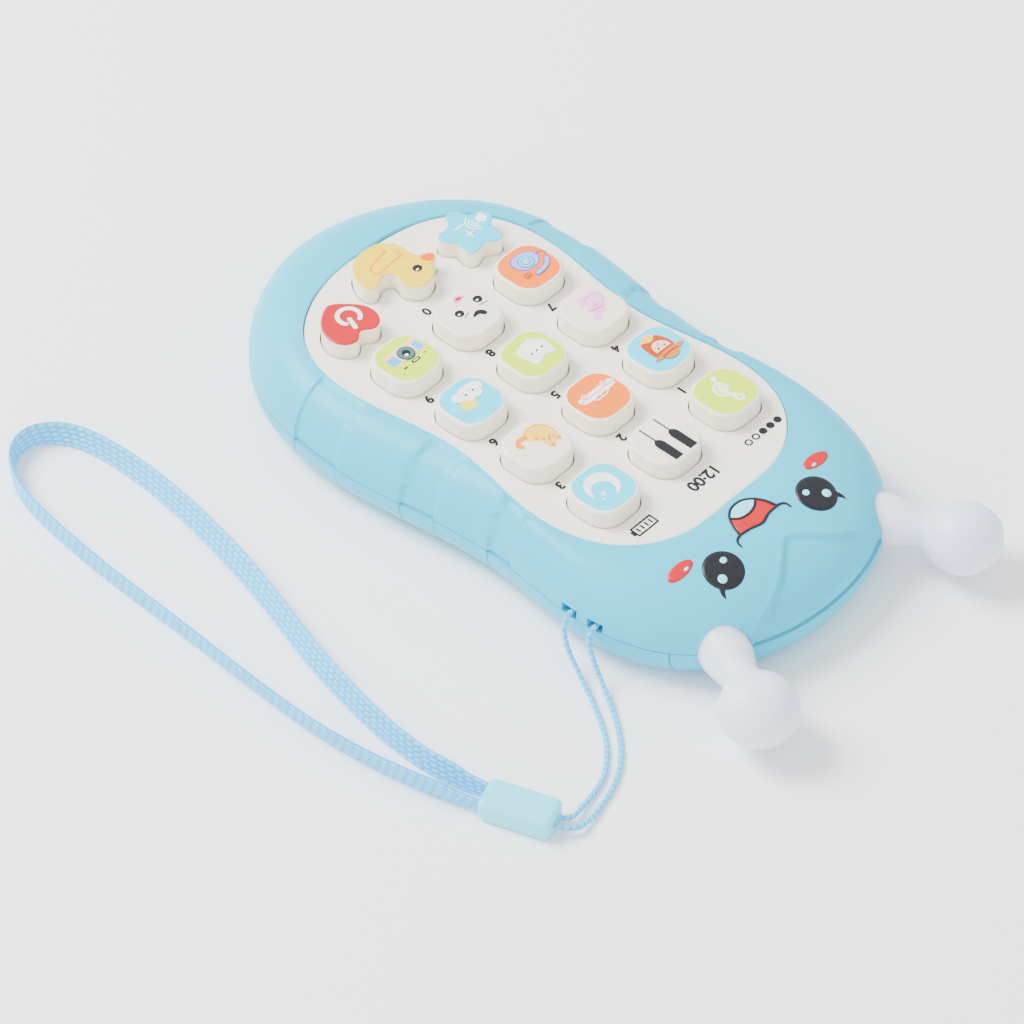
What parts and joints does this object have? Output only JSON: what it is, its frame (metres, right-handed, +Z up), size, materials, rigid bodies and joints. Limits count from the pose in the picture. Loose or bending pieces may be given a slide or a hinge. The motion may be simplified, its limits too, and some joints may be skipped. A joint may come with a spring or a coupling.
{
  "type": "toy cell phone",
  "caption": "Toy cell phone with a domed plastic casing, printed push keys, two soft ball-tipped antennae and a braided wrist lanyard.",
  "frame": {"origin": "middle of the phone's own length and width, on the flat of its back", "axes": "+Z up through the keys, +Y towards the antennae, +X towards the side with the strap slots"},
  "size_m": [0.1333, 0.1756, 0.025],
  "materials": {
    "shell": "satin",
    "plate": "satin",
    "key_cream": "satin",
    "key_lime": "satin",
    "key_orange": "satin",
    "key_sky": "satin",
    "key_red": "satin",
    "key_yellow": "satin",
    "antenna": "satin",
    "silicone": "matt",
    "board": "satin",
    "component": "satin",
    "steel": "satin",
    "paper_cone": "matt",
    "lamp": "gloss",
    "cell": "satin",
    "cord": "matt",
    "slider": "satin"
  },
  "bodies": {
    "casing": {"upper_shell": "shell", "back_shell": "shell", "head_cover": "shell", "battery_door": "shell", "face_plate": "plate", "rubber_keypad": "silicone", "circuit_board": "board", "sound_chip": "component", "board_components": "component", "speaker_frame": "steel", "speaker_cone": "paper_cone", "speaker_magnet": "steel", "antenna_left": "antenna", "antenna_right": "antenna", "led_left": "lamp", "led_right": "lamp", "battery_1": "cell", "battery_2": "cell", "battery_3": "cell", "battery_plates": "steel", "battery_springs": "steel", "battery_door_screw": "steel", "case_screws": "steel", "head_cover_screws": "steel", "board_screws": "steel", "strap_cord_a": "cord", "strap_cord_b": "cord", "wrist_loop": "cord", "strap_slider": "slider"},
    "button_1": {"key_1": "key_lime"},
    "button_2": {"key_2": "key_cream"},
    "button_3": {"key_3": "key_sky"},
    "button_4": {"key_4": "key_sky"},
    "button_5": {"key_5": "key_orange"},
    "button_6": {"key_6": "key_cream"},
    "button_7": {"key_7": "key_cream"},
    "button_8": {"key_8": "key_lime"},
    "button_9": {"key_9": "key_sky"},
    "button_telephone": {"key_telephone": "key_orange"},
    "button_0": {"key_0": "key_cream"},
    "button_camera": {"key_camera": "key_lime"},
    "button_star": {"key_star": "key_sky"},
    "button_duck": {"key_duck": "key_yellow"},
    "button_heart": {"key_heart": "key_red"}
  },
  "joints": [
    {"name": "press_1", "type": "slide", "parent": "casing", "child": "button_1", "axis": [0, 0, -1], "range_m": [0, 0.0014], "stiffness_N_per_m": 500, "deforming": ["rubber_keypad"]},
    {"name": "press_2", "type": "slide", "parent": "casing", "child": "button_2", "axis": [0, 0, -1], "range_m": [0, 0.0014], "stiffness_N_per_m": 500, "deforming": ["rubber_keypad"]},
    {"name": "press_3", "type": "slide", "parent": "casing", "child": "button_3", "axis": [0, 0, -1], "range_m": [0, 0.0014], "stiffness_N_per_m": 500, "deforming": ["rubber_keypad"]},
    {"name": "press_4", "type": "slide", "parent": "casing", "child": "button_4", "axis": [0, 0, -1], "range_m": [0, 0.0014], "stiffness_N_per_m": 500, "deforming": ["rubber_keypad"]},
    {"name": "press_5", "type": "slide", "parent": "casing", "child": "button_5", "axis": [0, 0, -1], "range_m": [0, 0.0014], "stiffness_N_per_m": 500, "deforming": ["rubber_keypad"]},
    {"name": "press_6", "type": "slide", "parent": "casing", "child": "button_6", "axis": [0, 0, -1], "range_m": [0, 0.0014], "stiffness_N_per_m": 500, "deforming": ["rubber_keypad"]},
    {"name": "press_7", "type": "slide", "parent": "casing", "child": "button_7", "axis": [0, 0, -1], "range_m": [0, 0.0014], "stiffness_N_per_m": 500, "deforming": ["rubber_keypad"]},
    {"name": "press_8", "type": "slide", "parent": "casing", "child": "button_8", "axis": [0, 0, -1], "range_m": [0, 0.0014], "stiffness_N_per_m": 500, "deforming": ["rubber_keypad"]},
    {"name": "press_9", "type": "slide", "parent": "casing", "child": "button_9", "axis": [0, 0, -1], "range_m": [0, 0.0014], "stiffness_N_per_m": 500, "deforming": ["rubber_keypad"]},
    {"name": "press_telephone", "type": "slide", "parent": "casing", "child": "button_telephone", "axis": [0, 0, -1], "range_m": [0, 0.0014], "stiffness_N_per_m": 500, "deforming": ["rubber_keypad"]},
    {"name": "press_0", "type": "slide", "parent": "casing", "child": "button_0", "axis": [0, 0, -1], "range_m": [0, 0.0014], "stiffness_N_per_m": 500, "deforming": ["rubber_keypad"]},
    {"name": "press_camera", "type": "slide", "parent": "casing", "child": "button_camera", "axis": [0, 0, -1], "range_m": [0, 0.0014], "stiffness_N_per_m": 500, "deforming": ["rubber_keypad"]},
    {"name": "press_star", "type": "slide", "parent": "casing", "child": "button_star", "axis": [0, 0, -1], "range_m": [0, 0.0014], "stiffness_N_per_m": 500, "deforming": ["rubber_keypad"]},
    {"name": "press_duck", "type": "slide", "parent": "casing", "child": "button_duck", "axis": [0, 0, -1], "range_m": [0, 0.0014], "stiffness_N_per_m": 500, "deforming": ["rubber_keypad"]},
    {"name": "press_heart", "type": "slide", "parent": "casing", "child": "button_heart", "axis": [0, 0, -1], "range_m": [0, 0.0014], "stiffness_N_per_m": 500, "deforming": ["rubber_keypad"]}
  ]
}
